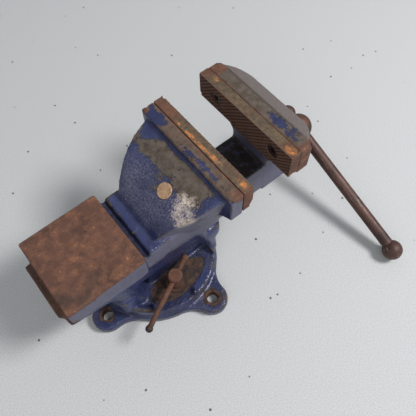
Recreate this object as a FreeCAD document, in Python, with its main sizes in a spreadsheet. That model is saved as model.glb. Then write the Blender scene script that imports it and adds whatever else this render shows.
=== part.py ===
"""Bench vise with a swivel base and an anvil, modelled in millimetres.

The origin is where the swivel axis meets the bench. +Z is up and +X is the way
the moving jaw opens. Every size is a named cell of the sheet called Sizes, and
PLACES holds the positions that follow from those sizes.
"""
import FreeCAD
import Part
import math
import os
import re
import Sketcher
from FreeCAD import Placement, Rotation, Vector

# ---------------------------------------------------------------- driving sizes
SIZES = {
    # swivel base
    "ring_radius": 65.4,            # round part of the base, under the foot
    "ring_height": 15.0,
    "waist_radius": 67.4,           # base plate between two lugs
    "lug_count": 4,
    "lug_circle_radius": 77.0,      # holes for the bench bolts
    "lug_hole_diameter": 11.5,
    "lug_tip_radius": 16.0,
    "lug_thickness": 11.0,
    "lug_blend_radius": 30.0,       # waist between two lugs, seen from above
    "base_turn": 15.3,              # how far the body is swivelled on its base
    "base_edge_round": 1.8,
    # swivel lock
    "lock_circle_radius": 41.2,
    "lock_bolt_diameter": 10.0,
    "lock_head_width": 17.0,
    "lock_head_height": 5.4,
    "slot_floor": 4.0,
    "slot_head_room": 0.6,
    "slot_side_room": 0.75,
    "bolt_hole_room": 0.4,
    "lock_washer_diameter": 22.0,
    "lock_washer_thickness": 2.0,
    "lock_nut_diameter": 15.0,
    "lock_nut_height": 21.6,
    "lock_bar_diameter": 5.4,
    "lock_bar_drop": 6.0,           # bar axis below the nut's top
    "lock_bar_long_side": 57.0,
    "lock_bar_short_side": 22.0,
    "lock_ball_diameter": 7.6,
    "lock_bar_turn": 27.0,
    # swivel pivot
    "pivot_diameter": 12.0,
    "pivot_head_diameter": 19.0,
    "pivot_head_height": 5.0,
    "pivot_thread_length": 22.0,
    "pivot_washer_diameter": 26.0,
    "pivot_washer_thickness": 2.0,
    "pivot_recess_depth": 8.0,
    # foot and neck of the body
    "swivel_gap": 0.3,
    "foot_floor": 5.0,
    "rim_height": 13.4,
    "rim_width": 5.2,
    "dish_radius": 56.0,
    "leg_radius": 68.0,
    "neck_waist_width": 49.0,
    "neck_middle_width": 58.6,
    "neck_waist_rise": 6.0,         # straight part of the neck, above the dish
    "neck_belly_height": 14.0,      # widest part of the neck, above the tunnel's floor
    "neck_belly": 0.5,
    "neck_cove_height": 86.0,       # where the housing's side starts to curve in
    "leg_top_drop": 4.0,            # the legs end this far below the cove
    "leg_cut_reach": 40.0,
    "front_leg_foot": 50.0,
    "front_leg_head": 33.0,
    "rear_leg_foot": 34.0,
    "rear_leg_head": 46.0,
    # housing around the slide
    "housing_width": 72.2,
    "housing_top": 111.5,
    "housing_bottom": 44.0,
    "tail_width": 58.6,
    "tail_top": 101.0,
    "tail_reach": 107.5,
    "tail_end_bottom": 60.0,        # the tail's underside rises towards its end
    "tail_slope_length": 70.0,
    "side_slot_inset": 3.0,
    "side_slot_rise": 15.0,         # above the tunnel's floor
    "side_slot_length": 15.0,
    "side_slot_height": 6.0,
    # anvil
    "anvil_width": 83.1,
    "anvil_length": 77.9,
    "anvil_reach": 100.3,
    "anvil_top": 118.6,
    "anvil_rear_thickness": 20.0,
    "anvil_front_thickness": 34.0,
    "anvil_flat_underside": 20.0,   # level part of the underside, next to the neck
    "groove_width": 5.9,
    "groove_depth": 4.5,
    # jaws
    "jaw_width": 125.0,
    "jaw_top": 159.4,
    "jaw_opening": 41.6,
    "plate_thickness": 10.9,
    "plate_height": 29.0,
    "seat_position": 65.9,          # casting face behind the fixed jaw plate
    "pad_depth": 13.7,
    "pad_height": 31.5,
    "web_start": -6.6,
    "web_foot_width": 82.0,         # both widths at the height of the jaw's top
    "web_head_width": 117.0,
    "web_overlap": 15.0,            # web and pad run this far down into the housing
    "web_head_drop": 6.0,           # step from the jaw's top down to its web
    "web_back_radius": 80.0,
    "web_side_radius": 240.0,
    "web_taper": 14.0,              # the flanks draw in towards the housing
    "flank_radius": 60.0,
    "screw_spacing": 78.0,
    "screw_drop": 15.0,
    "screw_diameter": 8.0,
    "screw_head_diameter": 13.0,
    "screw_head_height": 6.0,
    "screw_length": 21.0,
    "screw_end_room": 2.0,
    "screw_sink": 1.5,
    "screw_socket_radius": 3.4,
    "screw_socket_depth": 4.0,
    "badge_diameter": 14.6,
    "badge_thickness": 1.6,
    "badge_seat_depth": 1.1,
    "badge_offset": 9.8,
    "badge_position": 22.8,
    # moving jaw
    "slide_width": 48.6,
    "slide_top": 94.0,
    "slide_height": 44.0,
    "slide_wall": 6.3,
    "slide_gap": 0.3,
    "slide_tail": 100.0,
    "jaw_back_depth": 33.0,
    "jaw_back_width": 114.0,
    "jaw_back_corner": 38.0,
    "jaw_back_radius": 62.0,
    "jaw_back_drop": 13.0,
    "jaw_crown_radius": 45.0,       # curves of the back, seen from the side
    "jaw_belly_radius": 60.0,
    "jaw_belly": 5.5,               # the back's swell below its sloping top
    "jaw_belly_drop": 60.0,
    "jaw_shoulder_drop": 33.0,
    "jaw_cheek_drop": 58.0,         # where the cheeks' curves reach the foot
    "jaw_foot_width": 50.0,
    "jaw_foot_bottom": 47.0,
    "jaw_root": 10.0,               # slide and nose both end inside the upright part
    "nose_diameter": 44.0,
    "nose_reach": 55.5,
    # spindle
    "spindle_drop": 2.0,            # spindle's axis below the middle of the slide
    "thread_diameter": 20.0,
    "thread_depth": 2.2,
    "thread_pitch": 5.0,
    "thread_start": -66.0,
    "thread_length": 150.0,
    "journal_diameter": 22.0,
    "running_gap": 0.06,
    "flange_diameter": 36.0,
    "flange_thickness": 4.0,
    "head_diameter": 29.2,
    "knob_room": 0.5,               # between the flange and a knob that passes it
    "thrust_washer_thickness": 2.5,
    "collar_head_room": 2.2,        # under the roof of the hollow slide
    "collar_length": 9.0,
    "collar_room": 0.4,
    "collar_pin_diameter": 4.0,
    # handle
    "handle_diameter": 12.4,
    "tenon_diameter": 8.0,
    "handle_hole_room": 0.5,
    "handle_tilt": 20.1,
    "handle_long_side": 166.5,
    "handle_stop_room": 0.4,
    "lower_knob_diameter": 21.4,
    "upper_knob_diameter": 17.5,
    # spindle nut
    "nut_position": 35.0,
    "nut_length": 30.0,
    "nut_width": 30.0,
    "nut_head_room": 1.7,           # under the roof of the hollow slide
    "nut_bolt_diameter": 10.0,
    "nut_bolt_head_diameter": 16.0,
    "nut_bolt_head_height": 7.0,
    "nut_bolt_head_room": 2.3,      # between the bolt's end and the spindle
    "nut_bolt_room_diameter": 24.0,
    "nut_seat_floor": 6.0,          # housing's bottom to the seat of the nut's bolt
    "thread_room": 0.15,
    "fit_gap": 0.05,
}
SIDES = (("left", "1", 1), ("right", "-1", -1))

# --------------------------------------------------- places that follow from them
PLACES = {
    "foot_bottom": "ring_height + swivel_gap",
    "foot_top": "foot_bottom + foot_floor",
    "rim_top": "foot_bottom + rim_height",
    "slot_neck_width": "lock_bolt_diameter + 2 * slot_side_room",
    "slot_head_top": "slot_floor + lock_head_height + slot_head_room",
    "slot_head_width": "lock_head_width + 4 * slot_side_room",
    "lock_head_bottom": "slot_head_top - lock_head_height - slot_head_room / 2",
    "lock_nut_bottom": "foot_top + lock_washer_thickness",
    "lock_nut_top": "lock_nut_bottom + lock_nut_height",
    "lock_bar_height": "lock_nut_top - lock_bar_drop",
    "lock_bolt_top": "lock_bar_height - lock_bar_diameter",
    "slide_bottom": "slide_top - slide_height",
    "slide_roof": "slide_top - slide_wall",
    "spindle_height": "slide_top - slide_height / 2 - spindle_drop",
    "collar_diameter": "2 * (slide_roof - spindle_height - collar_head_room)",
    "nut_height": "slide_height - slide_wall - nut_head_room",
    "nut_bolt_thread": "spindle_height - thread_diameter / 2 - tunnel_floor - nut_bolt_head_room",
    "tunnel_floor": "slide_bottom - slide_gap",
    "tunnel_top": "slide_top + slide_gap",
    "tunnel_width": "slide_width + 2 * slide_gap",
    "anvil_front": "anvil_length - anvil_reach",
    "ledge_rear": "anvil_front + groove_width",
    "pad_rear": "seat_position - pad_depth",
    "web_top": "jaw_top - web_head_drop",
    "web_bottom": "housing_top - web_overlap",
    "plate_bottom": "jaw_top - plate_height",
    "screw_height": "jaw_top - screw_drop",
    "fixed_face": "seat_position + plate_thickness",
    "moving_face": "fixed_face + jaw_opening",
    "moving_seat": "moving_face + plate_thickness",
    "jaw_back": "moving_seat + jaw_back_depth",
    "nose_face": "moving_seat + nose_reach",
    "flange_face": "nose_face + thrust_washer_thickness",
    "flange_back": "flange_face + flange_thickness",
    "head_stand_off": "lower_knob_diameter / 2 + knob_room",
    "head_position": "flange_back + head_stand_off",
    "journal_bore": "journal_diameter + 2 * running_gap",
    "collar_end": "moving_seat - collar_room",
    "handle_hole": "handle_diameter + 2 * handle_hole_room",
    "lower_knob_seat": "sqrt(lower_knob_diameter^2 - handle_diameter^2) / 2",
    "upper_knob_seat": "sqrt(upper_knob_diameter^2 - handle_diameter^2) / 2",
    "handle_short_side": "sqrt(head_diameter^2 - handle_hole^2) / 2"
                         " + sqrt(upper_knob_diameter^2 - handle_hole^2) / 2 + handle_stop_room",
    "nut_bolt_seat": "housing_bottom - nut_seat_floor",
    "blend_x": "((waist_radius + lug_blend_radius)^2 - (lug_tip_radius + lug_blend_radius)^2"
               " + lug_circle_radius^2) / (2 * lug_circle_radius)",
    "blend_y": "sqrt((waist_radius + lug_blend_radius)^2 - blend_x^2)",
}

document = FreeCAD.newDocument("BenchVise")
sheet = document.addObject("Spreadsheet::Sheet", "Sizes")
for row, (alias, number) in enumerate(SIZES.items(), start=1):
    sheet.set(f"A{row}", alias)
    sheet.set(f"B{row}", str(number))
    sheet.setAlias(f"B{row}", alias)
document.recompute()


# ------------------------------------------------------------------------ helpers
def expression(rule):
    """Turn a rule in size names into an expression that FreeCAD can follow."""
    def known(match):
        word = match.group(0)
        if word in SIZES:
            return "Sizes." + word
        if word in PLACES:
            return "(" + expression(PLACES[word]) + ")"
        return word
    return re.sub(r"[a-z][a-z_]*", known, rule)


def value(rule):
    """The number that a rule gives now."""
    return float(sheet.evalExpression(expression(rule)))


def new_body(label):
    body = document.addObject("PartDesign::Body", label)
    body.Label = label
    body.AllowCompound = True
    return body


def sketch(body, plane, name, shift=("0", "0", "0")):
    """A sketch on one of the body's own origin planes, shifted in its own axes."""
    drawing = body.newObject("Sketcher::SketchObject", name)
    origin_plane = [item for item in body.Origin.OriginFeatures if item.Role == plane][0]
    drawing.AttachmentSupport = (origin_plane, [""])
    drawing.MapMode = "FlatFace"
    for axis, rule in zip("xyz", shift):
        if rule != "0":
            drawing.setExpression("AttachmentOffset.Base." + axis, expression(rule))
    document.recompute()
    return drawing


def bind(drawing, constraint, rule):
    index = drawing.addConstraint(constraint)
    name = f"size_{index}"
    drawing.renameConstraint(index, name)
    drawing.setExpression("Constraints." + name, expression(rule))


def place(drawing, geometry, point, x_rule, y_rule):
    """Tie one point of a sketch to its two coordinates."""
    for kind, rule, axis in (("DistanceX", x_rule, -2), ("DistanceY", y_rule, -1)):
        if rule == "0":
            drawing.addConstraint(Sketcher.Constraint("PointOnObject", geometry, point, axis))
        else:
            bind(drawing, Sketcher.Constraint(kind, -1, 1, geometry, point, value(rule)), rule)


def arc_between(start, end, radius, turn):
    """The short arc from start to end; turn is 1 anticlockwise and -1 clockwise."""
    along = end - start
    height = math.sqrt(max(radius ** 2 - (along.Length / 2) ** 2, 0))
    left = Vector(-along.y, along.x, 0).normalize()
    centre = (start + end) / 2 + left * height * turn
    first, last = (start, end) if turn > 0 else (end, start)
    angles = [math.atan2(point.y - centre.y, point.x - centre.x) for point in (first, last)]
    return Part.ArcOfCircle(Part.Circle(centre, Vector(0, 0, 1), radius), *angles)


def outline(drawing, corners, arcs=None):
    """Draw a closed outline. arcs maps a side's number to its (radius, turn)."""
    arcs = arcs or {}
    points = [Vector(value(x_rule), value(y_rule), 0) for x_rule, y_rule in corners]
    ends = []
    for side, start in enumerate(points):
        end = points[(side + 1) % len(points)]
        if side in arcs:
            radius, turn = arcs[side]
            piece = arc_between(start, end, value(radius), turn)
            order = (1, 2) if turn > 0 else (2, 1)
        else:
            piece = Part.LineSegment(start, end)
            order = (1, 2)
        ends.append((drawing.addGeometry(piece), *order))
    for side, (geometry, start, end) in enumerate(ends):
        following = ends[(side + 1) % len(ends)]
        drawing.addConstraint(Sketcher.Constraint("Coincident", geometry, end, following[0], following[1]))
        place(drawing, geometry, start, *corners[side])
        if side in arcs:
            bind(drawing, Sketcher.Constraint("Radius", geometry, value(arcs[side][0])), arcs[side][0])
    return drawing


def circle(drawing, x_rule, y_rule, diameter):
    centre = Vector(value(x_rule), value(y_rule), 0)
    geometry = drawing.addGeometry(Part.Circle(centre, Vector(0, 0, 1), value(diameter) / 2))
    place(drawing, geometry, 3, x_rule, y_rule)
    bind(drawing, Sketcher.Constraint("Diameter", geometry, value(diameter)), diameter)
    return drawing


def box_corners(left, right, low, high):
    return [(left, low), (right, low), (right, high), (left, high)]


def feature(kind, body, name, drawing, **rules):
    """Add a PartDesign feature made from a sketch, its sizes bound to the sheet."""
    item = body.newObject("PartDesign::" + kind, name)
    item.Profile = drawing
    for property_name, setting in rules.items():
        if isinstance(setting, str):
            item.setExpression(property_name, expression(setting))
        else:
            setattr(item, property_name, setting)
    document.recompute()
    return item


def pad(body, name, drawing, length, **more):
    return feature("Pad", body, name, drawing, Length=length, **more)


def pocket(body, name, drawing, length, **more):
    """A Pocket that must take material away."""
    before = body.Shape.Volume
    item = feature("Pocket", body, name, drawing, Length=length, **more)
    if body.Shape.Volume >= before:
        raise RuntimeError(name + " cuts nothing")
    return item


def turned(kind, body, name, drawing, axis):
    """A full Revolution or Groove about one of the sketch's axes."""
    before = body.Shape.Volume if kind == "Groove" else None
    item = body.newObject("PartDesign::" + kind, name)
    item.Profile = drawing
    item.ReferenceAxis = (drawing, [axis])
    item.Angle = 360
    document.recompute()
    if before is not None and body.Shape.Volume >= before:
        raise RuntimeError(name + " cuts nothing")
    return item


def dress(kind, body, name, size, chosen):
    """A Fillet or Chamfer on the edges for which chosen(edge) is true."""
    document.recompute()
    base = body.Tip
    names = [f"Edge{index}" for index, edge in enumerate(base.Shape.Edges, start=1) if chosen(edge)]
    if not names:
        raise RuntimeError(name + " found no edge")
    item = body.newObject("PartDesign::" + kind, name)
    item.Base = (base, names)
    item.setExpression("Radius" if kind == "Fillet" else "Size", expression(size))
    document.recompute()
    return item


def near(first, second, slack=0.05):
    return abs(first - second) < slack


def flat_at(edge, height):
    """True when the whole edge lies at one height."""
    return near(edge.BoundBox.ZMin, height) and near(edge.BoundBox.ZMax, height)


def upright(edge):
    box = edge.BoundBox
    return box.XLength < 0.05 and box.YLength < 0.05 and box.ZLength > 0.5


# -------------------------------------------------------------------- swivel base
def make_swivel_base():
    """Cast base: a ring with a T slot for the lock bolts, and lugs for the bench bolts."""
    body = new_body("swivel_base")
    drawing = sketch(body, "XY_Plane", "plate_plan")
    waist_share = "waist_radius / (waist_radius + lug_blend_radius)"
    tip_share = "lug_tip_radius / (lug_tip_radius + lug_blend_radius)"
    waist = (f"blend_x * {waist_share}", f"blend_y * {waist_share}")
    tip = (f"(lug_circle_radius + (blend_x - lug_circle_radius) * {tip_share})", f"blend_y * {tip_share}")
    one_lug = [(waist[0], f"-({waist[1]})"), (tip[0], f"-({tip[1]})"), tip, waist]
    lug_arcs = [("lug_blend_radius", -1), ("lug_tip_radius", 1), ("lug_blend_radius", -1), ("waist_radius", 1)]
    corners = []
    for number in range(int(value("lug_count"))):
        turn = f"({number} * 360 / lug_count)"
        for x_rule, y_rule in one_lug:
            corners.append((f"({x_rule}) * cos({turn}) - ({y_rule}) * sin({turn})",
                            f"({x_rule}) * sin({turn}) + ({y_rule}) * cos({turn})"))
    arcs = {side: lug_arcs[side % len(lug_arcs)] for side in range(len(corners))}
    outline(drawing, corners, arcs)
    pad(body, "lug_plate", drawing, "lug_thickness")
    drawing = sketch(body, "XY_Plane", "ring_plan")
    circle(drawing, "0", "0", "2 * ring_radius")
    pad(body, "ring", drawing, "ring_height")

    lug_top = value("lug_thickness")
    ring_radius = value("ring_radius")

    def plate_rim(edge):
        reach = max(math.hypot(vertex.X, vertex.Y) for vertex in edge.Vertexes)
        return flat_at(edge, lug_top) and reach > ring_radius + 0.5

    dress("Fillet", body, "plate_rim_round", "base_edge_round", plate_rim)

    drawing = sketch(body, "XY_Plane", "bench_bolt_plan")
    for number in range(int(value("lug_count"))):
        turn = f"{number} * 360 / lug_count"
        circle(drawing, f"lug_circle_radius * cos({turn})", f"lug_circle_radius * sin({turn})",
               "lug_hole_diameter")
    pocket(body, "bench_bolt_holes", drawing, "2 * ring_height", Midplane=True)

    drawing = sketch(body, "XZ_Plane", "slot_section")
    middle = "lock_circle_radius"
    corners = [
        (f"{middle} - slot_head_width / 2", "slot_floor"),
        (f"{middle} + slot_head_width / 2", "slot_floor"),
        (f"{middle} + slot_head_width / 2", "slot_head_top"),
        (f"{middle} + slot_neck_width / 2", "slot_head_top"),
        (f"{middle} + slot_neck_width / 2", "ring_height + 1"),
        (f"{middle} - slot_neck_width / 2", "ring_height + 1"),
        (f"{middle} - slot_neck_width / 2", "slot_head_top"),
        (f"{middle} - slot_head_width / 2", "slot_head_top"),
    ]
    outline(drawing, corners)
    turned("Groove", body, "lock_slot", drawing, "V_Axis")

    drawing = sketch(body, "XY_Plane", "pivot_recess_plan")
    circle(drawing, "0", "0", "pivot_washer_diameter + 4 * bolt_hole_room")
    pocket(body, "pivot_recess", drawing, "pivot_recess_depth", Reversed=True)
    drawing = sketch(body, "XY_Plane", "pivot_hole_plan")
    circle(drawing, "0", "0", "pivot_diameter + 2 * bolt_hole_room")
    pocket(body, "pivot_hole", drawing, "4 * ring_height", Midplane=True)
    body.Placement.Rotation = Rotation(Vector(0, 0, 1), value("base_turn"))
    return body


# ---------------------------------------------------------------------- vise body
def badge_place(rise):
    """A placement on the web's curved back, its Z axis along the surface's normal."""
    head = Vector(value("pad_rear"), value("web_top"), 0)
    foot = Vector(value("web_start"), value("housing_top"), 0)
    arc = arc_between(head, foot, value("web_back_radius"), 1)
    across = value("badge_position") - arc.Center.x
    lean = math.asin(across / arc.Radius)
    reach = arc.Radius + rise
    spot = Vector(arc.Center.x + reach * math.sin(lean), -value("badge_offset"),
                  arc.Center.y + reach * math.cos(lean))
    return Placement(spot, Rotation(Vector(0, 1, 0), math.degrees(lean)))


def mirrored(right_side):
    """Corners of an outline that is the same on both sides of the middle."""
    left_side = [(f"-({x_rule})", y_rule) for x_rule, y_rule in reversed(right_side)]
    return right_side + left_side


def make_vise_body():
    """Main casting: foot, neck, housing, anvil and the fixed jaw."""
    body = new_body("vise_body")

    # foot: a flat dish with a raised round rim
    drawing = sketch(body, "XZ_Plane", "foot_section")
    corners = [
        ("0", "foot_bottom"),
        ("ring_radius", "foot_bottom"),
        ("ring_radius", "rim_top - rim_width / 2"),
        ("ring_radius - rim_width", "rim_top - rim_width / 2"),
        ("dish_radius", "foot_top"),
        ("0", "foot_top"),
    ]
    outline(drawing, corners, {2: ("rim_width / 2 + 0.001", 1)})
    turned("Revolution", body, "foot", drawing, "V_Axis")

    # the two legs that carry the housing, in front of and behind the lock nuts
    for name, side, turn, foot, head in (("front", "1", 1, "front_leg_foot", "front_leg_head"),
                                         ("rear", "-1", -1, "rear_leg_foot", "rear_leg_head")):
        leg_end = "sqrt(leg_radius^2 - (housing_width / 2)^2)"
        drawing = sketch(body, "XY_Plane", name + "_leg_plan", ("0", "0", "foot_top - foot_floor / 2"))
        inner = f"{side} * min({foot}; {head})"
        corners = [
            (inner, f"-({side}) * housing_width / 2"),
            (f"{side} * {leg_end}", f"-({side}) * housing_width / 2"),
            (f"{side} * {leg_end}", f"{side} * housing_width / 2"),
            (inner, f"{side} * housing_width / 2"),
        ]
        outline(drawing, corners, {1: ("leg_radius", 1)})
        pad(body, name + "_leg", drawing, "neck_cove_height - leg_top_drop - foot_top")
        drawing = sketch(body, "XZ_Plane", name + "_leg_slope")
        wedge = [
            (f"{side} * ({foot} - leg_cut_reach)", "foot_top"),
            (f"{side} * {foot}", "foot_top"),
            (f"{side} * {head}", "neck_cove_height"),
            (f"{side} * ({foot} - leg_cut_reach)", "neck_cove_height"),
        ]
        if turn < 0:
            wedge.reverse()
        outline(drawing, wedge)
        pocket(body, name + "_leg_cut", drawing, "2 * housing_width", Midplane=True)

    # web behind the fixed jaw: its back, its plan and its flanks are all curved
    drawing = sketch(body, "XZ_Plane", "web_profile")
    corners = [
        ("web_start", "housing_top"),
        ("web_start", "web_bottom"),
        ("seat_position", "web_bottom"),
        ("seat_position", "web_top"),
        ("pad_rear", "web_top"),
    ]
    outline(drawing, corners, {4: ("web_back_radius", 1)})
    pad(body, "web", drawing, "web_head_width", Midplane=True)
    for word, side, turn in SIDES:
        drawing = sketch(body, "XY_Plane", f"web_plan_{word}", ("0", "0", "jaw_top"))
        corners = [
            ("web_start - 0.001", f"{side} * web_foot_width / 2"),
            ("seat_position + 1", f"{side} * web_head_width / 2"),
            ("seat_position + 1", f"{side} * jaw_width"),
            ("web_start - 0.001", f"{side} * jaw_width"),
        ]
        outline(drawing, corners, {0: ("web_side_radius", -turn)})
        pocket(body, f"web_plan_cut_{word}", drawing, "jaw_top - neck_cove_height", TaperAngle="web_taper")

    # pad that backs the jaw plate over its full width
    drawing = sketch(body, "YZ_Plane", "pad_outline", ("0", "0", "pad_rear"))
    right_side = [
        ("housing_width / 2", "web_bottom"),
        ("jaw_width / 2", "jaw_top - pad_height"),
        ("jaw_width / 2", "jaw_top"),
    ]
    outline(drawing, mirrored(right_side), {0: ("flank_radius", -1), 4: ("flank_radius", -1)})
    pad(body, "jaw_pad", drawing, "pad_depth")

    # housing and neck in one section, then the narrower tail
    drawing = sketch(body, "YZ_Plane", "housing_section", ("0", "0", "anvil_front"))
    right_side = [
        ("neck_waist_width / 2", "foot_bottom + 1"),
        ("neck_waist_width / 2", "foot_top + neck_waist_rise"),
        ("neck_middle_width / 2", "tunnel_floor"),
        ("neck_middle_width / 2 + neck_belly", "tunnel_floor + neck_belly_height"),
        ("housing_width / 2", "neck_cove_height"),
        ("housing_width / 2", "housing_top"),
    ]
    outline(drawing, mirrored(right_side))
    pad(body, "neck_and_housing", drawing, "front_leg_foot - anvil_front")
    front_start = "(front_leg_foot - foot_floor)"
    drawing = sketch(body, "YZ_Plane", "front_section", ("0", "0", front_start))
    outline(drawing, box_corners("-housing_width / 2", "housing_width / 2", "housing_bottom", "housing_top"))
    pad(body, "housing_front", drawing, f"seat_position - {front_start}")
    drawing = sketch(body, "YZ_Plane", "tail_section", ("0", "0", "-tail_reach"))
    outline(drawing, box_corners("-tail_width / 2", "tail_width / 2", "housing_bottom", "tail_top"))
    pad(body, "tail", drawing, "tail_reach + ledge_rear")
    drawing = sketch(body, "XZ_Plane", "tail_slope")
    corners = [
        ("-tail_reach - 1", "housing_bottom - 1"),
        ("tail_slope_length - tail_reach", "housing_bottom - 1"),
        ("tail_slope_length - tail_reach", "housing_bottom"),
        ("-tail_reach", "tail_end_bottom"),
        ("-tail_reach - 1", "tail_end_bottom"),
    ]
    outline(drawing, corners)
    pocket(body, "tail_slope_cut", drawing, "2 * tail_width", Midplane=True)

    # anvil, its underside rising towards the rear
    drawing = sketch(body, "XZ_Plane", "anvil_profile")
    corners = [
        ("-anvil_reach", "anvil_top - anvil_rear_thickness"),
        ("anvil_front - anvil_flat_underside", "anvil_top - anvil_front_thickness"),
        ("anvil_front", "anvil_top - anvil_front_thickness"),
        ("anvil_front", "anvil_top"),
        ("-anvil_reach", "anvil_top"),
    ]
    outline(drawing, corners)
    pad(body, "anvil", drawing, "anvil_width", Midplane=True)
    drawing = sketch(body, "XZ_Plane", "groove_profile")
    corners = box_corners("anvil_front", "ledge_rear", "housing_top - groove_depth", "housing_top + 5")
    outline(drawing, corners)
    pocket(body, "anvil_groove", drawing, "2 * anvil_width", Midplane=True)

    # tunnel for the slide, right through from front to rear
    drawing = sketch(body, "YZ_Plane", "tunnel_section")
    outline(drawing, box_corners("-tunnel_width / 2", "tunnel_width / 2", "tunnel_floor", "tunnel_top"))
    pocket(body, "slide_tunnel", drawing, "3 * tail_reach", Midplane=True)

    # slots in both sides of the housing, near its mouth
    drawing = sketch(body, "XZ_Plane", "side_slot_profile")
    slot_end = "seat_position - side_slot_inset"
    slot_bottom = "tunnel_floor + side_slot_rise"
    corners = box_corners(f"{slot_end} - side_slot_length", slot_end,
                          slot_bottom, f"{slot_bottom} + side_slot_height")
    outline(drawing, corners)
    pocket(body, "side_slots", drawing, "2 * housing_width", Midplane=True)

    # holes for the lock bolts, the pivot bolt and the nut's bolt
    drawing = sketch(body, "XY_Plane", "lock_bolt_plan", ("0", "0", "foot_bottom"))
    circle(drawing, "0", "lock_circle_radius", "lock_bolt_diameter + 2 * bolt_hole_room")
    circle(drawing, "0", "-lock_circle_radius", "lock_bolt_diameter + 2 * bolt_hole_room")
    pocket(body, "lock_bolt_holes", drawing, "2 * foot_floor", Midplane=True)
    drawing = sketch(body, "XY_Plane", "pivot_plan", ("0", "0", "foot_bottom"))
    circle(drawing, "0", "0", "pivot_diameter + 2 * fit_gap")
    pocket(body, "pivot_thread", drawing, "pivot_thread_length", Reversed=True)
    drawing = sketch(body, "XY_Plane", "nut_bolt_room_plan", ("0", "0", "foot_bottom"))
    circle(drawing, "nut_position", "0", "nut_bolt_room_diameter")
    pocket(body, "nut_bolt_room", drawing, "nut_bolt_seat - foot_bottom", Reversed=True)
    drawing = sketch(body, "XY_Plane", "nut_bolt_plan", ("0", "0", "foot_bottom"))
    circle(drawing, "nut_position", "0", "nut_bolt_diameter + 2 * bolt_hole_room")
    pocket(body, "nut_bolt_hole", drawing, "tunnel_floor - foot_bottom + 1", Reversed=True)

    # threaded holes for the jaw plate's screws, and the flat seat of the badge
    drawing = sketch(body, "YZ_Plane", "plate_screw_plan", ("0", "0", "seat_position"))
    for word, side, turn in SIDES:
        circle(drawing, f"{side} * screw_spacing / 2", "screw_height", "screw_diameter + 2 * fit_gap")
    pocket(body, "plate_screw_holes", drawing, "screw_length - plate_thickness + screw_end_room")
    drawing = sketch(body, "XY_Plane", "badge_seat_plan")
    drawing.AttachmentOffset = badge_place(0)
    circle(drawing, "0", "0", "badge_diameter + 2 * fit_gap")
    pocket(body, "badge_seat", drawing, "badge_seat_depth")
    return body


# ------------------------------------------------------------------- swivel parts
def make_round_stack(label, plane, sections, shift=("0", "0", "0")):
    """A turned piece: each section is (diameter, start, end) along the sketch's normal."""
    body = new_body(label)
    for number, (diameter, start, end) in enumerate(sections):
        offset = (shift[0], shift[1], start)
        drawing = sketch(body, plane, f"{label}_circle_{number}", offset)
        circle(drawing, "0", "0", diameter)
        pad(body, f"{label}_section_{number}", drawing, f"({end}) - ({start})")
    return body


def drill(body, plane, diameter, start, depth, shift=("0", "0")):
    """A round hole from start, along the sketch's normal."""
    drawing = sketch(body, plane, body.Label + "_bore", (shift[0], shift[1], start))
    circle(drawing, "0", "0", diameter)
    return pocket(body, body.Label + "_bore_cut", drawing, depth, Reversed=True)


def make_pivot_bolt():
    """Bolt that holds the body down on its base, screwed in from below."""
    head_bottom = "pivot_recess_depth - pivot_washer_thickness - pivot_head_height"
    shank_start = f"{head_bottom} + pivot_head_height"
    return make_round_stack("pivot_bolt", "XY_Plane", [
        ("pivot_head_diameter", head_bottom, shank_start),
        ("pivot_diameter", shank_start, "foot_bottom + pivot_thread_length - 2"),
    ])


def make_pivot_washer():
    body = make_round_stack("pivot_washer", "XY_Plane", [
        ("pivot_washer_diameter", "pivot_recess_depth - pivot_washer_thickness", "pivot_recess_depth"),
    ])
    drill(body, "XY_Plane", "pivot_diameter + 2 * bolt_hole_room", "0", "2 * ring_height")
    return body


def lock_side(name):
    """Where the lock on one side stands, as a sketch shift in Y."""
    return "-lock_circle_radius" if name == "near" else "lock_circle_radius"


def make_lock_bolt(name):
    """T bolt: a square head that runs in the base's slot, and a round shank."""
    body = new_body("lock_bolt_" + name)
    drawing = sketch(body, "XY_Plane", f"head_{name}", ("0", lock_side(name), "lock_head_bottom"))
    outline(drawing, box_corners("-lock_head_width / 2", "lock_head_width / 2",
                                 "-lock_head_width / 2", "lock_head_width / 2"))
    pad(body, f"square_head_{name}", drawing, "lock_head_height")
    drawing = sketch(body, "XY_Plane", f"shank_{name}", ("0", lock_side(name), "lock_head_bottom"))
    circle(drawing, "0", "0", "lock_bolt_diameter")
    pad(body, f"shank_pad_{name}", drawing, "lock_bolt_top - lock_head_bottom")
    top = value("lock_bolt_top")
    dress("Chamfer", body, f"shank_end_{name}", "1", lambda edge: flat_at(edge, top))
    return body


def make_lock_washer(name):
    body = make_round_stack("lock_washer_" + name, "XY_Plane", [
        ("lock_washer_diameter", "foot_top", "foot_top + lock_washer_thickness"),
    ], ("0", lock_side(name), "0"))
    drill(body, "XY_Plane", "lock_bolt_diameter + 2 * bolt_hole_room", "0", "2 * foot_top",
          ("0", lock_side(name)))
    return body


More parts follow.
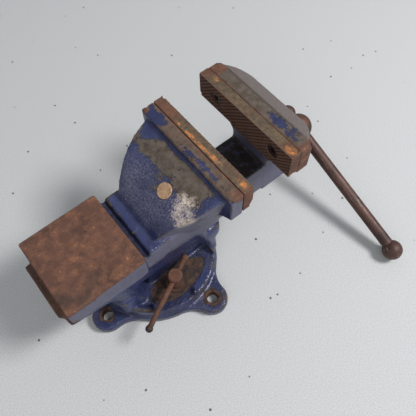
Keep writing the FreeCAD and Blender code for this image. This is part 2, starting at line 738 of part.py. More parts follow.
def make_lock_nut(name):
    """Round lock nut with a blind thread from below and a cross hole for its bar."""
    body = make_round_stack("lock_nut_" + name, "XY_Plane", [
        ("lock_nut_diameter", "lock_nut_bottom", "lock_nut_top"),
    ], ("0", lock_side(name), "0"))
    bottom = value("lock_nut_bottom")
    top = value("lock_nut_top")
    dress("Chamfer", body, f"nut_top_{name}", "1.4", lambda edge: flat_at(edge, top))
    drill(body, "XY_Plane", "lock_bolt_diameter + 2 * running_gap", "lock_nut_bottom",
          "lock_bolt_top - lock_nut_bottom + 0.5", ("0", lock_side(name)))
    drawing = sketch(body, "XZ_Plane", f"bar_hole_{name}")
    circle(drawing, "0", "lock_bar_height", "lock_bar_diameter + 2 * running_gap")
    pocket(body, f"bar_hole_cut_{name}", drawing, "4 * lock_circle_radius", Midplane=True)
    turn = value("lock_bar_turn")
    centre = Vector(0, value(lock_side(name)), 0)
    body.Placement = Placement(Vector(0, 0, 0), Rotation(Vector(0, 0, 1), turn + 90), centre)
    return body


def make_lock_bar(name):
    """Tommy bar with a small ball at each end; modelled along Z, then laid in its nut."""
    body = new_body("lock_bar_" + name)
    ball = "lock_ball_diameter / 2"
    root = f"sqrt(({ball})^2 - (lock_bar_diameter / 2)^2)"
    drawing = sketch(body, "XZ_Plane", f"bar_{name}")
    corners = [
        ("0", f"-lock_bar_long_side - {ball}"),
        ("lock_bar_diameter / 2", f"-lock_bar_long_side + {root}"),
        ("lock_bar_diameter / 2", f"lock_bar_short_side - {root}"),
        ("0", f"lock_bar_short_side + {ball}"),
    ]
    outline(drawing, corners, {0: (ball, 1), 2: (ball, 1)})
    turned("Revolution", body, f"bar_turn_{name}", drawing, "V_Axis")
    direction = Rotation(Vector(0, 0, 1), value("lock_bar_turn")) * Rotation(Vector(0, 1, 0), 90)
    if name == "far":
        direction = Rotation(Vector(0, 0, 1), 180) * direction
    body.Placement = Placement(Vector(0, value(lock_side(name)), value("lock_bar_height")), direction)
    return body


# --------------------------------------------------------------------- jaw plates
def make_jaw_plate(label, rear_face, front_face):
    """Hardened plate with bevelled ends and two sunk screw holes."""
    body = new_body(label)
    low, high = sorted((rear_face, front_face), key=value)
    drawing = sketch(body, "YZ_Plane", label + "_face", ("0", "0", low))
    outline(drawing, box_corners("-jaw_width / 2", "jaw_width / 2", "plate_bottom", "jaw_top"))
    pad(body, label + "_blank", drawing, "plate_thickness")
    outward = value(front_face) > value(rear_face)
    drawing = sketch(body, "YZ_Plane", label + "_holes", ("0", "0", low))
    for word, side, turn in SIDES:
        circle(drawing, f"{side} * screw_spacing / 2", "screw_height", "screw_diameter + 2 * bolt_hole_room")
    pocket(body, label + "_hole_cut", drawing, "3 * plate_thickness", Midplane=True)
    sink = "screw_head_height + screw_sink"
    start = f"{front_face} - ({sink})" if outward else front_face
    drawing = sketch(body, "YZ_Plane", label + "_sinks", ("0", "0", start))
    for word, side, turn in SIDES:
        circle(drawing, f"{side} * screw_spacing / 2", "screw_height", "screw_head_diameter + 2 * bolt_hole_room")
    pocket(body, label + "_sink_cut", drawing, sink, Reversed=True)
    return body


def make_jaw_screws(label, front_face, direction):
    """Two socket screws; each head is sunk below the plate's face."""
    body = new_body(label)
    if direction > 0:
        head = f"{front_face} - screw_sink - screw_head_height"
        shank = f"{front_face} - screw_sink - screw_length"
    else:
        head = f"{front_face} + screw_sink"
        shank = f"{front_face} + screw_sink"
    for name, start, length, diameter in (("shank", shank, "screw_length", "screw_diameter"),
                                          ("head", head, "screw_head_height", "screw_head_diameter")):
        drawing = sketch(body, "YZ_Plane", f"{label}_{name}", ("0", "0", start))
        for word, side, turn in SIDES:
            circle(drawing, f"{side} * screw_spacing / 2", "screw_height", diameter)
        pad(body, f"{label}_{name}_pad", drawing, length)
    socket_start = f"{front_face} - screw_sink" if direction > 0 else f"{front_face} + screw_sink"
    drawing = sketch(body, "YZ_Plane", f"{label}_sockets", ("0", "0", socket_start))
    for word, side, turn in SIDES:
        hexagon = [(f"{side} * screw_spacing / 2 + screw_socket_radius * cos({60 * corner})",
                    f"screw_height + screw_socket_radius * sin({60 * corner})") for corner in range(6)]
        outline(drawing, hexagon)
    pocket(body, f"{label}_socket_cut", drawing, "screw_socket_depth", Reversed=direction < 0)
    return body


def make_maker_badge():
    """Blank disc let into the web; it carries no lettering."""
    body = new_body("maker_badge")
    drawing = sketch(body, "XY_Plane", "badge_disc")
    circle(drawing, "0", "0", "badge_diameter")
    pad(body, "badge_pad", drawing, "badge_thickness")
    top = value("badge_thickness")
    dress("Fillet", body, "badge_round", "0.4", lambda edge: flat_at(edge, top))
    body.Placement = badge_place(-value("badge_seat_depth"))
    return body


# --------------------------------------------------------------------- moving jaw
def make_moving_jaw():
    """Casting in one piece: hollow slide, upright jaw and the nose for the spindle."""
    body = new_body("moving_jaw")
    drawing = sketch(body, "YZ_Plane", "slide_section", ("0", "0", "-slide_tail"))
    outline(drawing, box_corners("-slide_width / 2", "slide_width / 2", "slide_bottom", "slide_top"))
    pad(body, "slide", drawing, "slide_tail + moving_seat + jaw_root")

    drawing = sketch(body, "XZ_Plane", "upright_profile")
    corners = [
        ("moving_seat", "jaw_foot_bottom"),
        ("jaw_back", "jaw_foot_bottom"),
        ("jaw_back + jaw_belly", "jaw_top - jaw_belly_drop"),
        ("jaw_back + jaw_belly", "jaw_top - jaw_shoulder_drop"),
        ("jaw_back", "jaw_top - jaw_back_drop"),
        ("moving_seat + pad_depth", "jaw_top"),
        ("moving_seat", "jaw_top"),
    ]
    outline(drawing, corners, {3: ("jaw_belly_radius", 1), 4: ("jaw_crown_radius", 1)})
    pad(body, "upright", drawing, "jaw_width", Midplane=True)
    for word, side, turn in SIDES:
        drawing = sketch(body, "XY_Plane", f"back_plan_{word}", ("0", "0", "jaw_top"))
        corners = [
            ("moving_seat + pad_depth", f"{side} * jaw_back_width / 2"),
            ("jaw_back + jaw_belly + 2", f"{side} * (jaw_back_width / 2 - jaw_back_corner)"),
            ("jaw_back + jaw_belly + 2", f"{side} * jaw_width"),
            ("moving_seat + pad_depth", f"{side} * jaw_width"),
        ]
        outline(drawing, corners, {0: ("jaw_back_radius", -turn)})
        pocket(body, f"back_plan_cut_{word}", drawing, "jaw_top")
        drawing = sketch(body, "YZ_Plane", f"cheek_{word}")
        corners = [
            (f"{side} * jaw_foot_width / 2", "jaw_foot_bottom - 1"),
            (f"{side} * jaw_width", "jaw_foot_bottom - 1"),
            (f"{side} * jaw_width", "jaw_top - jaw_shoulder_drop"),
            (f"{side} * (jaw_width / 2 + 1)", "jaw_top - jaw_shoulder_drop"),
            (f"{side} * jaw_foot_width / 2", "jaw_top - jaw_cheek_drop"),
        ]
        outline(drawing, corners, {3: ("flank_radius", turn)})
        pocket(body, f"cheek_cut_{word}", drawing, "4 * moving_seat", Midplane=True)

    drawing = sketch(body, "YZ_Plane", "nose_plan", ("0", "spindle_height", "moving_seat + jaw_root"))
    circle(drawing, "0", "0", "nose_diameter")
    pad(body, "nose", drawing, "nose_reach - jaw_root")

    drawing = sketch(body, "YZ_Plane", "channel_section", ("0", "0", "-slide_tail - 1"))
    outline(drawing, box_corners("slide_wall - slide_width / 2", "slide_width / 2 - slide_wall",
                                 "slide_bottom - 5", "slide_roof"))
    pocket(body, "channel", drawing, "slide_tail + moving_seat + 1", Reversed=True)
    drawing = sketch(body, "YZ_Plane", "journal_plan", ("0", "spindle_height", "0"))
    circle(drawing, "0", "0", "journal_bore")
    pocket(body, "journal", drawing, "2 * moving_seat + 2 * nose_reach + 4", Midplane=True)
    drawing = sketch(body, "YZ_Plane", "moving_screw_plan", ("0", "0", "moving_seat"))
    for word, side, turn in SIDES:
        circle(drawing, f"{side} * screw_spacing / 2", "screw_height", "screw_diameter + 2 * fit_gap")
    pocket(body, "moving_screw_holes", drawing, "screw_length - plate_thickness + screw_end_room", Reversed=True)
    return body


# ------------------------------------------------------------------------ spindle
def make_spindle():
    """Turned screw: thread, journal, flange and a round head bored for the handle."""
    body = new_body("spindle")
    drawing = sketch(body, "XZ_Plane", "spindle_section", ("0", "spindle_height", "0"))
    ball = "head_diameter / 2"
    corners = [
        ("thread_start", "0"),
        (f"head_position + {ball}", "0"),
        ("flange_back", f"sqrt(({ball})^2 - head_stand_off^2)"),
        ("flange_back", "flange_diameter / 2"),
        ("flange_face", "flange_diameter / 2"),
        ("flange_face", "journal_diameter / 2"),
        ("moving_seat", "journal_diameter / 2"),
        ("moving_seat", "thread_diameter / 2"),
        ("thread_start + 1.5", "thread_diameter / 2"),
        ("thread_start", "thread_diameter / 2 - 1.5"),
    ]
    outline(drawing, corners, {1: (ball, 1)})
    turned("Revolution", body, "spindle_turn", drawing, "H_Axis")

    drawing = sketch(body, "XZ_Plane", "thread_groove", ("thread_start + 2 * thread_pitch", "spindle_height", "0"))
    root = "thread_diameter / 2 - thread_depth"
    corners = [
        ("-thread_pitch / 8", root),
        ("thread_pitch / 8", root),
        ("thread_pitch / 4 + 0.3", "thread_diameter / 2 + 0.1"),
        ("-thread_pitch / 4 - 0.3", "thread_diameter / 2 + 0.1"),
    ]
    outline(drawing, corners)
    groove = turned("Groove", body, "thread_ring", drawing, "H_Axis")
    pattern = body.newObject("PartDesign::LinearPattern", "thread_rings")
    pattern.Originals = [groove]
    x_axis = [item for item in body.Origin.OriginFeatures if item.Role == "X_Axis"][0]
    pattern.Direction = (x_axis, [""])
    pattern.Mode = "Spacing"
    pattern.setExpression("Offset", expression("thread_pitch"))
    pattern.setExpression("Occurrences", expression("thread_length / thread_pitch"))
    body.Tip = pattern
    document.recompute()

    drawing = sketch(body, "XY_Plane", "handle_hole_plan")
    drawing.AttachmentOffset = handle_place()
    circle(drawing, "0", "0", "handle_hole")
    pocket(body, "handle_hole_cut", drawing, "3 * head_diameter", Midplane=True)
    collar_pin_hole(body)
    return body


def handle_place():
    """Where the handle crosses the spindle's head; its Z axis runs up the handle."""
    spot = Vector(value("head_position"), 0, value("spindle_height"))
    return Placement(spot, Rotation(Vector(1, 0, 0), value("handle_tilt") - 90))


def collar_pin_hole(body):
    drawing = sketch(body, "XZ_Plane", body.Label + "_pin_plan")
    circle(drawing, "collar_end - collar_length / 2", "spindle_height", "collar_pin_diameter + 2 * fit_gap")
    pocket(body, body.Label + "_pin_hole", drawing, "2 * collar_diameter", Midplane=True)


def make_thrust_washer():
    body = make_round_stack("thrust_washer", "YZ_Plane", [
        ("flange_diameter", "nose_face", "flange_face"),
    ], ("0", "spindle_height", "0"))
    drill(body, "YZ_Plane", "journal_bore", "nose_face - 1", "thrust_washer_thickness + 2", ("0", "spindle_height"))
    return body


def make_spindle_collar():
    """Ring pinned to the spindle inside the slide, so that the jaw is drawn back too."""
    body = make_round_stack("spindle_collar", "YZ_Plane", [
        ("collar_diameter", "collar_end - collar_length", "collar_end"),
    ], ("0", "spindle_height", "0"))
    drill(body, "YZ_Plane", "thread_diameter + 2 * fit_gap", "collar_end - collar_length - 1",
          "collar_length + 2", ("0", "spindle_height"))
    collar_pin_hole(body)
    return body


def make_collar_pin():
    body = new_body("collar_pin")
    drawing = sketch(body, "XZ_Plane", "pin_circle")
    circle(drawing, "collar_end - collar_length / 2", "spindle_height", "collar_pin_diameter")
    pad(body, "pin", drawing, "collar_diameter - 1", Midplane=True)
    return body


# ------------------------------------------------------------------------- handle
def make_handle_bar():
    """Sliding bar; each end is turned down and fits into its knob."""
    body = new_body("handle_bar")
    start = "lower_knob_seat - handle_long_side"
    end = "handle_short_side - upper_knob_seat"
    drawing = sketch(body, "XY_Plane", "bar_circle", ("0", "0", start))
    circle(drawing, "0", "0", "handle_diameter")
    pad(body, "bar", drawing, f"({end}) - ({start})")
    drawing = sketch(body, "XY_Plane", "tenon_circle", ("0", "0", "-handle_long_side"))
    circle(drawing, "0", "0", "tenon_diameter")
    pad(body, "tenons", drawing, "handle_long_side + handle_short_side")
    body.Placement = handle_place()
    return body


def make_handle_knob(name, height, diameter, seat, side):
    """Ball with a flat where it meets the bar and a blind hole for the bar's end."""
    body = new_body("handle_knob_" + name)
    drawing = sketch(body, "XZ_Plane", name + "_knob_section", ("0", height, "0"))
    flat = f"-({side}) * {seat}"
    corners = [("0", f"{side} * {diameter} / 2"), ("0", flat), ("handle_diameter / 2", flat)]
    outline(drawing, corners, {2: (f"{diameter} / 2", int(side))})
    turned("Revolution", body, name + "_knob", drawing, "V_Axis")
    drawing = sketch(body, "XY_Plane", name + "_tenon_hole", ("0", "0", f"{height} - ({side}) * 2 * {diameter}"))
    circle(drawing, "0", "0", "tenon_diameter + 2 * fit_gap")
    pocket(body, name + "_tenon_cut", drawing, f"2 * {diameter}", Reversed=side == "1")
    body.Placement = handle_place()
    return body


# -------------------------------------------------------------------- spindle nut
def make_spindle_nut():
    """Block that stands on the housing's floor inside the hollow slide."""
    body = new_body("spindle_nut")
    drawing = sketch(body, "XY_Plane", "nut_plan", ("0", "0", "tunnel_floor"))
    outline(drawing, box_corners("nut_position - nut_length / 2", "nut_position + nut_length / 2",
                                 "-nut_width / 2", "nut_width / 2"))
    pad(body, "nut_block", drawing, "nut_height")
    dress("Fillet", body, "nut_corner_round", "3", upright)
    drill(body, "YZ_Plane", "thread_diameter + 2 * thread_room", "0", "2 * nut_position", ("0", "spindle_height"))
    drawing = sketch(body, "XY_Plane", "nut_bolt_thread_plan", ("0", "0", "tunnel_floor"))
    circle(drawing, "nut_position", "0", "nut_bolt_diameter + 2 * fit_gap")
    pocket(body, "nut_bolt_thread_cut", drawing, "nut_bolt_thread", Reversed=True)
    return body


def make_nut_bolt():
    """Bolt that holds the spindle nut down, from the room under the housing's floor."""
    return make_round_stack("nut_bolt", "XY_Plane", [
        ("nut_bolt_head_diameter", "nut_bolt_seat - nut_bolt_head_height", "nut_bolt_seat"),
        ("nut_bolt_diameter", "nut_bolt_seat", "tunnel_floor + nut_bolt_thread - 0.5"),
    ], ("nut_position", "0", "0"))


PARTS = [
    make_swivel_base(),
    make_vise_body(),
    make_pivot_bolt(),
    make_pivot_washer(),
    make_jaw_plate("fixed_jaw_plate", "seat_position", "fixed_face"),
    make_jaw_screws("fixed_jaw_screws", "fixed_face", 1),
    make_maker_badge(),
    make_spindle_nut(),
    make_nut_bolt(),
    make_moving_jaw(),
    make_jaw_plate("moving_jaw_plate", "moving_seat", "moving_face"),
    make_jaw_screws("moving_jaw_screws", "moving_face", -1),
    make_spindle(),
    make_thrust_washer(),
    make_spindle_collar(),
    make_collar_pin(),
    make_handle_bar(),
    make_handle_knob("lower", "-handle_long_side", "lower_knob_diameter", "lower_knob_seat", "-1"),
    make_handle_knob("upper", "handle_short_side", "upper_knob_diameter", "upper_knob_seat", "1"),
]
for side_name in ("near", "far"):
    PARTS += [
        make_lock_bolt(side_name),
        make_lock_washer(side_name),
        make_lock_nut(side_name),
        make_lock_bar(side_name),
    ]

os.makedirs("parts", exist_ok=True)
document.recompute()
for item in document.Objects:
    if "Invalid" in item.State or "Error" in item.State:
        raise RuntimeError(item.Label + " failed: " + str(item.State))
for part in PARTS:
    if part.Shape.isNull() or not part.Shape.isValid():
        raise RuntimeError(part.Label + " has no valid shape")
    part.Shape.exportStep(f"parts/{part.Label}.step")
    box = part.Shape.BoundBox
    print(f"{part.Label}: {len(part.Shape.Solids)} solid, {part.Shape.Volume / 1000:.1f} cm3, "
          f"x {box.XMin:.1f}..{box.XMax:.1f} y {box.YMin:.1f}..{box.YMax:.1f} z {box.ZMin:.1f}..{box.ZMax:.1f}")
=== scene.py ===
# %% [markdown]
# # A worn bench vise
# The vise is mostly iron casting: a body on a round swivelling foot, and a moving jaw on a hollow slide.
# Castings have soft edges, a pebbled skin and thick paint. The paint chips at edges and wears where hands and
# work rub it, and the bare iron under it rusts. The design model has every piece in its place with crisp edges,
# so each casting here starts as a copy of its design piece, is softened, and then painted and worn.

# %% Load the design model
import math
import bmesh
import bpy
import numpy as np
from mathutils import Matrix, Vector, noise


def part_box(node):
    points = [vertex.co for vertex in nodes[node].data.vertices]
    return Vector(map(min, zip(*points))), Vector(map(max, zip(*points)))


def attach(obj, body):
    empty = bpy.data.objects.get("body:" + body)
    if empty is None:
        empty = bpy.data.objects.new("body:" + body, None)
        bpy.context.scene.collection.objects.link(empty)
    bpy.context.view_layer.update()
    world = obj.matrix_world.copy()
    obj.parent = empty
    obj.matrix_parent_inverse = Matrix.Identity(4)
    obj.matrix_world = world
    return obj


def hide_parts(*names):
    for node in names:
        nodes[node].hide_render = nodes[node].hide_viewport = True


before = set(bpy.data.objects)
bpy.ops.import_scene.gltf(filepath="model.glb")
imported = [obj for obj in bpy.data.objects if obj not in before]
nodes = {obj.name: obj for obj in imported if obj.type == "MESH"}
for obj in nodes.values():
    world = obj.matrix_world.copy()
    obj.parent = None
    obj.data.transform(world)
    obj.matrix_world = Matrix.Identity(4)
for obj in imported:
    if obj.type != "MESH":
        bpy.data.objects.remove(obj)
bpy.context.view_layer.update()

TO_MM = 1000    # Blender works in metres, but places on the vise are easier to read in millimetres
print(len(nodes), "design pieces")

# %% [markdown]
# ## Handing a mesh over
# Every object stays at the origin with its place in its mesh, so that patterns on Object coordinates stay put.
# Each new piece moves with one body, and stands for one design piece, which is then hidden.

# %% Make an object from a mesh
def place_mesh(mesh, name, body, design_piece, material):
    piece = bpy.data.objects.new(name, mesh)
    bpy.context.scene.collection.objects.link(piece)
    mesh.polygons.foreach_set("use_smooth", [True] * len(mesh.polygons))
    mesh.materials.clear()
    mesh.materials.append(material)
    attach(piece, body)
    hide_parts(design_piece)
    print(name, "stands for", design_piece, "and moves with", body)

# %% [markdown]
# ## Castings with soft edges
# A sand casting has no sharp corner anywhere: every edge is rounded by the mould and then by wear.
# Bevels could round each edge by hand, but a casting with many blends is easier to remesh: the Remesh modifier
# wraps the whole piece in an even net of small squares, and smoothing that net a few times rounds all edges
# alike. The net also gives enough points for a pebbled skin and for dents.

# %% Copy a design piece and wrap it in an even net
def even_net(node, cell):
    shell = bmesh.new()
    shell.from_mesh(nodes[node].data)
    bmesh.ops.remove_doubles(shell, verts=shell.verts, dist=1e-6)
    mesh = bpy.data.meshes.new(node + "_net")
    shell.to_mesh(mesh)
    shell.free()
    draft = bpy.data.objects.new(node + "_net", mesh)
    bpy.context.scene.collection.objects.link(draft)
    wrap = draft.modifiers.new("wrap", "REMESH")
    wrap.mode = "VOXEL"
    wrap.voxel_size = cell
    graph = bpy.context.evaluated_depsgraph_get()
    net = bpy.data.meshes.new_from_object(draft.evaluated_get(graph))
    bpy.data.objects.remove(draft)
    print(node, "wrapped in a net of", len(net.vertices), "points")
    return net

# %% [markdown]
# Points are moved all at once as arrays, because a casting has tens of thousands of them. One round of
# smoothing moves each point halfway to the middle of its neighbours.

# %% Read, smooth and write points
def neighbours(mesh):
    ends = np.zeros(len(mesh.edges) * 2, np.int64)
    mesh.edges.foreach_get("vertices", ends)
    ends = ends.reshape(-1, 2)
    count = np.bincount(ends.ravel(), minlength=len(mesh.vertices)).astype(float)
    return ends, np.maximum(count, 1)[:, None]


def smoothed(points, ends, count, rounds):
    here, there = np.concatenate((ends, ends[:, ::-1])).T
    for _ in range(rounds):
        total = np.stack([np.bincount(here, points[there, axis], len(points)) for axis in range(3)], axis=1)
        points = points + 0.5 * (total / count - points)
    return points


def points_of(mesh):
    flat = np.zeros(len(mesh.vertices) * 3)
    mesh.vertices.foreach_get("co", flat)
    return flat.reshape(-1, 3)


def normals_of(mesh):
    flat = np.zeros(len(mesh.vertices) * 3)
    mesh.vertex_normals.foreach_get("vector", flat)
    return flat.reshape(-1, 3)


def set_points(mesh, points):
    mesh.vertices.foreach_set("co", points.ravel())
    mesh.update()


def store(mesh, name, values):
    layer = mesh.attributes.get(name) or mesh.attributes.new(name, "FLOAT", "POINT")
    layer.data.foreach_set("value", np.asarray(values, np.float32))

# %% [markdown]
# The difference between where a point is and where many rounds of smoothing would bring it says how much it
# sticks out. That is stored as "edge", and paint chips there. An inner corner comes out below zero, because
# paint lasts longest in it.

# %% Soften a net and measure its edges
WIDE_ROUNDS = 14        # rounds of smoothing that edges are measured against
FULL_EDGE = 0.0006      # an edge that sticks out by this many metres counts as 1
INNER_CORNER = -0.2     # the least that an inner corner counts


def soften(mesh, rounds):
    ends, count = neighbours(mesh)
    points = smoothed(points_of(mesh), ends, count, rounds)
    set_points(mesh, points)
    normals = normals_of(mesh)
    wide_points = smoothed(points, ends, count, WIDE_ROUNDS)
    height = np.einsum("ij,ij->i", points - wide_points, normals)
    store(mesh, "edge", np.clip(height / FULL_EDGE, INNER_CORNER, 1))
    print("points on a full edge:", int((height > FULL_EDGE).sum()))
    return points, normals

# %% [markdown]
# ## Where paint is gone
# Some places are bare for a reason: the anvil is hammered on, the slide is machined and oiled, the foot's dish
# holds wet dirt. Each such place is written here as a soft-edged box or ball in the vise's own coordinates, in
# millimetres. The mask is 1 inside and falls to 0 over its edge, and the material breaks it up with noise.

# %% Soft masks in space
def soft_box(points, low, high, edge):
    inside = np.full(len(points), 1e9)
    for axis in range(3):
        inside = np.minimum(inside, points[:, axis] * TO_MM - low[axis])
        inside = np.minimum(inside, high[axis] - points[:, axis] * TO_MM)
    return np.clip(0.5 + inside / edge, 0, 1)


def soft_ball(points, centre, size, edge):
    away = np.linalg.norm((points * TO_MM - np.array(centre)) / np.array(size), axis=1)
    return np.clip(0.5 + (1 - away) * np.mean(size) / edge, 0, 1)


def wavy(points, scale, seed):
    shift = Vector((seed * 3.1, seed * 1.7, seed * 2.3))
    return np.array([noise.fractal(Vector(point) * scale + shift, 0.9, 2.1, 4) for point in points])


line_of_points = np.array([(0, 0, 0), (0.009, 0, 0), (0.010, 0, 0), (0.011, 0, 0), (0.02, 0, 0)])
print("past the side of a box, at 10 mm:", soft_box(line_of_points, (-10, -10, -10), (10, 10, 10), 4))

# %% [markdown]
# The casting's paint reads seven masks. A casting that doesn't need one of them stores zeros, so that one
# material serves all three castings.

# %% Store a casting's masks
CASTING_MASKS = ("bare", "rust", "pale", "ash", "haze", "dust", "grime")


def store_masks(mesh, **masks):
    for name in CASTING_MASKS:
        store(mesh, name, masks.get(name, np.zeros(len(mesh.vertices))))
    print("masks:", ", ".join(f"{name} {values.mean():.2f}" for name, values in masks.items()))

# %% [markdown]
# ## Small helpers for materials
# A Cycles material is a graph of nodes. Writing it node by node is long, so a few helpers add a node, set its
# sockets and wire it up in one line. Every pattern reads Object coordinates, which are metres on the real vise.

# %% Node helpers
class Finish:
    """One material under construction."""

    def __init__(self, name):
        self.material = bpy.data.materials.new(name)
        self.material.use_nodes = True
        self.tree = self.material.node_tree
        self.shader = self.tree.nodes["Principled BSDF"]
        self.place = self.add("ShaderNodeTexCoord").outputs["Object"]

    def add(self, kind, settings=None, **sockets):
        node = self.tree.nodes.new(kind)
        for key, setting in (settings or {}).items():
            setattr(node, key, setting)
        for key, given in sockets.items():
            self.feed(node.inputs[key.replace("_", " ")], given)
        return node

    def feed(self, socket, given):
        if isinstance(given, bpy.types.NodeSocket):
            self.tree.links.new(given, socket)
        else:
            socket.default_value = given

    def noise(self, scale, detail=4.0, rough=0.6, stretch=None):
        place = self.place
        if stretch:
            place = self.add("ShaderNodeMapping", Vector=place, Scale=stretch).outputs[0]
        node = self.add("ShaderNodeTexNoise", Vector=place, Scale=scale, Detail=detail, Roughness=rough)
        return node.outputs["Fac"]

    def cells(self, scale, feature="F1"):
        node = self.add("ShaderNodeTexVoronoi", {"feature": feature}, Vector=self.place, Scale=scale)
        return node.outputs["Distance"]

    def stored(self, name):
        return self.add("ShaderNodeAttribute", {"attribute_name": name}).outputs["Fac"]

    def combined(self, operation, first, second):
        node = self.add("ShaderNodeMath", {"operation": operation})
        self.feed(node.inputs[0], first)
        self.feed(node.inputs[1], second)
        return node.outputs[0]

    def plus(self, first, second):
        return self.combined("ADD", first, second)

    def times(self, first, second):
        return self.combined("MULTIPLY", first, second)

    def step(self, factor, low, high):
        """0 below low, 1 above high, straight between them."""
        node = self.add("ShaderNodeMapRange", {"clamp": True}, Value=factor, From_Min=low, From_Max=high)
        return node.outputs["Result"]

    def blend(self, factor, first, second):
        node = self.add("ShaderNodeMix", {"data_type": "RGBA"})
        self.feed(node.inputs["Factor"], factor)
        self.feed(node.inputs[6], first)
        self.feed(node.inputs[7], second)
        return node.outputs[2]

    def level(self, factor, first, second):
        node = self.add("ShaderNodeMix", {"data_type": "FLOAT"})
        self.feed(node.inputs["Factor"], factor)
        self.feed(node.inputs[2], first)
        self.feed(node.inputs[3], second)
        return node.outputs[0]

    def bump(self, height, depth, under=None, strength=1.0):
        node = self.add("ShaderNodeBump", Height=height, Distance=depth, Strength=strength)
        if under is not None:
            self.feed(node.inputs["Normal"], under)
        return node.outputs[0]

    def surface(self, colour, rough, metal=0.0, normal=None):
        self.feed(self.shader.inputs["Base Color"], colour)
        self.feed(self.shader.inputs["Roughness"], rough)
        self.feed(self.shader.inputs["Metallic"], metal)
        if normal is not None:
            self.feed(self.shader.inputs["Normal"], normal)
        print(self.material.name, "has", len(self.tree.nodes), "nodes")
        return self.material


def tint(red, green, blue):
    """A colour given as eye values from 0 to 255, turned into the linear light that Blender works in."""
    linear = [((part / 255 + 0.055) / 1.055) ** 2.4 if part > 10 else part / 255 / 12.92
              for part in (red, green, blue)]
    return (*linear, 1.0)


print("eye value 128 is", round(tint(128, 128, 128)[0], 3), "in linear light")

# %% [markdown]
# ## Rust
# Rust isn't one colour. Old rust is a dark brown crust, newer rust is orange and sits in patches, and grease
# makes parts of it nearly black. Three layers of noise at different sizes give the crust, the patches and the
# grain, and the same noises push the surface in and out a little.

# %% Rust as a colour, a roughness and a height
RUST_DARK, RUST_BROWN, RUST_RED = tint(52, 33, 27), tint(88, 58, 46), tint(120, 80, 59)
# near black: grease in rust, and on the castings the painted shade in hollows and low places
RUST_ORANGE, GREASE_AND_SHADE = tint(188, 126, 76), tint(30, 24, 22)


def rust_layers(finish, dark, orange):
    """dark is how much of it is greasy, and orange how much is fresh, each from 0 to 1."""
    broad = finish.noise(38, 5, 0.62)
    patch = finish.noise(120, 6, 0.7)
    grain = finish.noise(760, 5, 0.75)
    colour = finish.blend(finish.step(broad, 0.20, 0.50), RUST_DARK, RUST_BROWN)
    reddish = finish.step(finish.plus(patch, finish.times(grain, 0.5)), 0.66, 0.92)
    colour = finish.blend(reddish, colour, RUST_RED)
    fresh = finish.times(finish.step(patch, 0.70 - 0.16 * orange, 0.86 - 0.16 * orange),
                         finish.step(grain, 0.42, 0.62))
    colour = finish.blend(fresh, colour, RUST_ORANGE)
    pits = finish.times(finish.step(grain, 0.52, 0.68), 0.6)
    colour = finish.blend(pits, colour, RUST_DARK)
    specks = finish.times(finish.step(finish.cells(330), 0.20, 0.10), finish.step(patch, 0.50, 0.60))
    colour = finish.blend(finish.times(specks, 0.8), colour, RUST_ORANGE)
    greasy = finish.step(finish.noise(22, 3, 0.5), 0.66 - 0.3 * dark, 0.86 - 0.3 * dark)
    colour = finish.blend(greasy, colour, GREASE_AND_SHADE)
    rough = finish.level(greasy, 0.82, 0.45)
    height = finish.plus(grain, finish.times(patch, 0.8))
    return colour, rough, height


def rust_finish(name, dark=0.5, orange=0.5, depth=0.0004):
    finish = Finish(name)
    colour, rough, height = rust_layers(finish, dark, orange)
    return finish.surface(colour, rough, 0.15, finish.bump(height, depth))

# %% [markdown]
# ## Worn blue paint over cast iron
# The paint is a thick gloss coat on a pebbled casting. Where it has gone, bare iron shows as brown and grey.
# One mask says where the paint is gone: it adds the stored edge and bare values to noise, so a chip has a ragged
# border that follows the edge. Bump drops at that border, which makes the paint look like a layer.
# Some of these colours are painted light: a grey on the upright sides is mostly painted sheen, pale specks are
# partly painted glints, and the dark mix paints shade as well as grime.

# %% Painted casting
BLUE, BLUE_DEEP, BLUE_DUST_AND_SHEEN = tint(54, 61, 97), tint(35, 40, 74), tint(96, 94, 110)
BLUE_CHALK_AND_GLINT = tint(138, 134, 148)
IRON_BROWN, IRON_GREY, IRON_ASH = tint(70, 59, 48), tint(92, 82, 74), tint(106, 98, 99)
PALE_SCALE = tint(212, 196, 182)


def paint_coat(finish, broad, middle, fine):
    """The colour of the paint that is left, and where dust dulls it and painted sheen greys it."""
    paint = finish.blend(finish.step(broad, 0.36, 0.66), BLUE_DEEP, BLUE)
    # grey where dust lies, and on the upright sides a painted sheen
    dusty = finish.times(finish.step(finish.plus(middle, finish.stored("dust")), 0.62, 0.95), 0.75)
    paint = finish.blend(dusty, paint, BLUE_DUST_AND_SHEEN)
    # pale specks: partly chalky paint, partly painted glints off the pebbled gloss
    haze = finish.times(finish.step(finish.plus(broad, finish.stored("haze")), 0.62, 1.05),
                        finish.step(fine, 0.40, 0.66))
    paint = finish.blend(finish.times(haze, 0.62), paint, BLUE_CHALK_AND_GLINT)
    return finish.blend(finish.times(finish.step(fine, 0.60, 0.70), 0.25), paint, IRON_GREY), dusty


def paint_gone(finish, broad, middle, fine):
    """1 where iron shows, 0 where paint covers it."""
    ragged = finish.plus(finish.times(middle, 0.55), finish.times(fine, 0.45))
    edge = finish.times(finish.times(finish.stored("edge"), finish.step(broad, 0.40, 0.62)), 0.30)
    gone = finish.plus(finish.plus(ragged, edge), finish.times(finish.stored("bare"), 0.62))
    return finish.step(gone, 0.70, 0.74)


